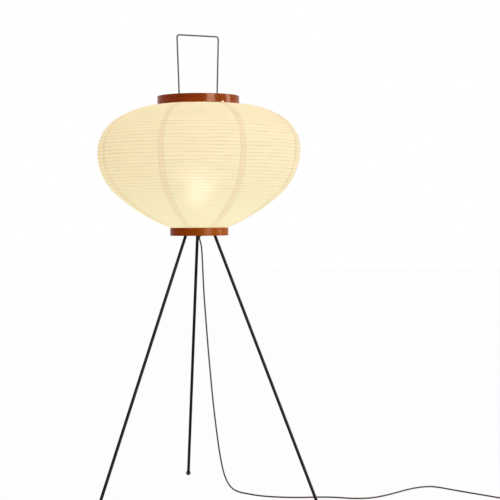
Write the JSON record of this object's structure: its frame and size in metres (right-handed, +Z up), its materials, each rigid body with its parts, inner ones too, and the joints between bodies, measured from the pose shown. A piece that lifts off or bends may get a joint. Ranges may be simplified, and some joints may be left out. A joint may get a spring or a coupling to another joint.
{
  "type": "paper lantern floor lamp",
  "caption": "Floor lamp with a round paper lantern shade between bentwood rings, a wire carrying handle, a slim black steel tripod and a trailing cord.",
  "frame": {"origin": "on the lamp's vertical axis, at the floor that the feet stand on", "axes": "+Z up; +Y towards the rear leg, so the other two legs point to the front left and front right; +X to the right, the way the cord leaves"},
  "size_m": [1.1948, 0.5977, 1.219],
  "materials": {
    "washi_paper": "matte, translucent",
    "bamboo": "matte",
    "varnished_wood": "gloss varnish",
    "steel_wire": "dark drawn wire",
    "zinc_steel": "zinc plated",
    "black_steel": "satin black",
    "black_rubber": "matte",
    "black_phenolic": "gloss",
    "white_ceramic": "glazed",
    "brass": "satin",
    "solder": "dull",
    "black_glass": "gloss",
    "bulb_cap_metal": "satin",
    "frosted_glass": "frosted",
    "brown_cord": "satin",
    "dark_plastic": "satin"
  },
  "bodies": {
    "lamp": {"paper_panel_1": "washi_paper", "paper_panel_2": "washi_paper", "paper_panel_3": "washi_paper", "paper_panel_4": "washi_paper", "paper_panel_5": "washi_paper", "paper_panel_6": "washi_paper", "paper_panel_7": "washi_paper", "paper_panel_8": "washi_paper", "bamboo_ribs": "bamboo", "bottom_ring": "varnished_wood", "wire_frame": "steel_wire", "upper_collars": "steel_wire", "lower_collars": "steel_wire", "shade_bar": "zinc_steel", "bar_screws": "zinc_steel", "hub_plate": "black_steel", "threaded_nipple": "zinc_steel", "lock_nut": "zinc_steel", "lock_washer": "zinc_steel", "leg_sleeve_left": "black_steel", "leg_sleeve_right": "black_steel", "leg_sleeve_rear": "black_steel", "holder_cap": "black_phenolic", "holder_shell": "black_phenolic", "holder_core": "white_ceramic", "holder_screw_shell": "brass", "holder_tongue": "brass", "cord_gland": "black_rubber", "cord": "brown_cord", "cord_coil": "brown_cord", "switch_lead": "brown_cord", "plug_lead": "brown_cord", "switch_base": "dark_plastic", "switch_cover": "dark_plastic", "plug_body": "dark_plastic", "plug_blades": "brass"},
    "top_ring_set": {"top_ring": "varnished_wood", "top_ring_wire_left": "steel_wire", "top_ring_wire_right": "steel_wire"},
    "bulb_screw_carrier": {"bulb_button": "solder"},
    "bulb": {"bulb_insulator": "black_glass", "bulb_cap": "bulb_cap_metal", "bulb_glass": "frosted_glass"},
    "rocker": {"switch_rocker": "dark_plastic"},
    "leg_left": {"leg_rod_left": "black_steel", "foot_left": "black_rubber"},
    "leg_right": {"leg_rod_right": "black_steel", "foot_right": "black_rubber"},
    "leg_rear": {"leg_rod_rear": "black_steel", "foot_rear": "black_rubber"}
  },
  "joints": [
    {"name": "shade_collapse", "type": "slide", "parent": "lamp", "child": "top_ring_set", "axis": [0, 0, 1], "range_m": [-0.2923, 0], "deforming": ["paper_panel_1", "paper_panel_2", "paper_panel_3", "paper_panel_4", "paper_panel_5", "paper_panel_6", "paper_panel_7", "paper_panel_8", "bamboo_ribs"]},
    {"name": "leg_left_pull", "type": "slide", "parent": "lamp", "child": "leg_left", "axis": [-0.3268, -0.1887, -0.9261], "range_m": [0, 0.025]},
    {"name": "leg_right_pull", "type": "slide", "parent": "lamp", "child": "leg_right", "axis": [0.3268, -0.1887, -0.9261], "range_m": [0, 0.025]},
    {"name": "leg_rear_pull", "type": "slide", "parent": "lamp", "child": "leg_rear", "axis": [0, 0.3774, -0.9261], "range_m": [0, 0.025]},
    {"name": "bulb_lift", "type": "slide", "parent": "lamp", "child": "bulb_screw_carrier", "axis": [0, 0, 1], "range_m": [0, 0.01835]},
    {"name": "bulb_turn", "type": "hinge", "parent": "bulb_screw_carrier", "child": "bulb", "pos_m": [0, 0, 0.75505], "axis": [0, 0, 1], "range_deg": [0, 1800]},
    {"name": "rocker_tip", "type": "hinge", "parent": "lamp", "child": "rocker", "pos_m": [0.893, -0.066, 0.0125], "axis": [1, 0, 0], "range_deg": [0, 16]}
  ],
  "couplings": [
    {"joint": "bulb_lift", "follows": "bulb_turn", "m_per_rad": 0.00057773}
  ]
}
